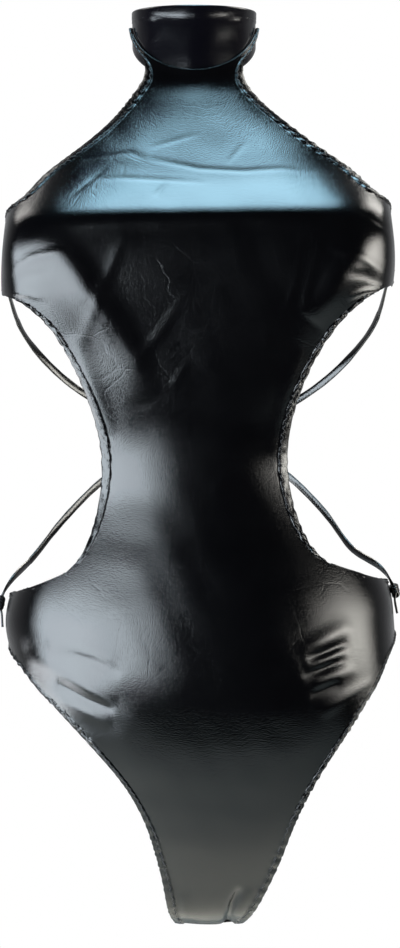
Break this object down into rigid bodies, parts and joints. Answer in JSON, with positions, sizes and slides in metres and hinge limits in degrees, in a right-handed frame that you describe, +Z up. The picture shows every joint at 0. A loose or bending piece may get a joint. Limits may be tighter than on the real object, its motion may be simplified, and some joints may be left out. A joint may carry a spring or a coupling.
{
  "type": "catsuit",
  "caption": "High-neck cut-out bodysuit in black wet-look leathercloth, standing hollow in the shape it has when worn.",
  "frame": {"origin": "middle of the neck opening, level with the middle of the standing part of the collar", "axes": "+Z up along the body, -Y towards the front, +X to the right as seen from the front"},
  "size_m": [0.3325, 0.2588, 0.7561],
  "materials": {
    "panel_cloth": "black stretch leathercloth with a fine pebble grain and a wet-look shine",
    "collar_cloth": "the same leathercloth doubled, a little shinier"
  },
  "bodies": {
    "root": {"front_panel": "panel_cloth", "brief_back": "panel_cloth", "collar": "collar_cloth", "strap_from_left": "panel_cloth", "strap_from_right": "panel_cloth"}
  },
  "joints": []
}
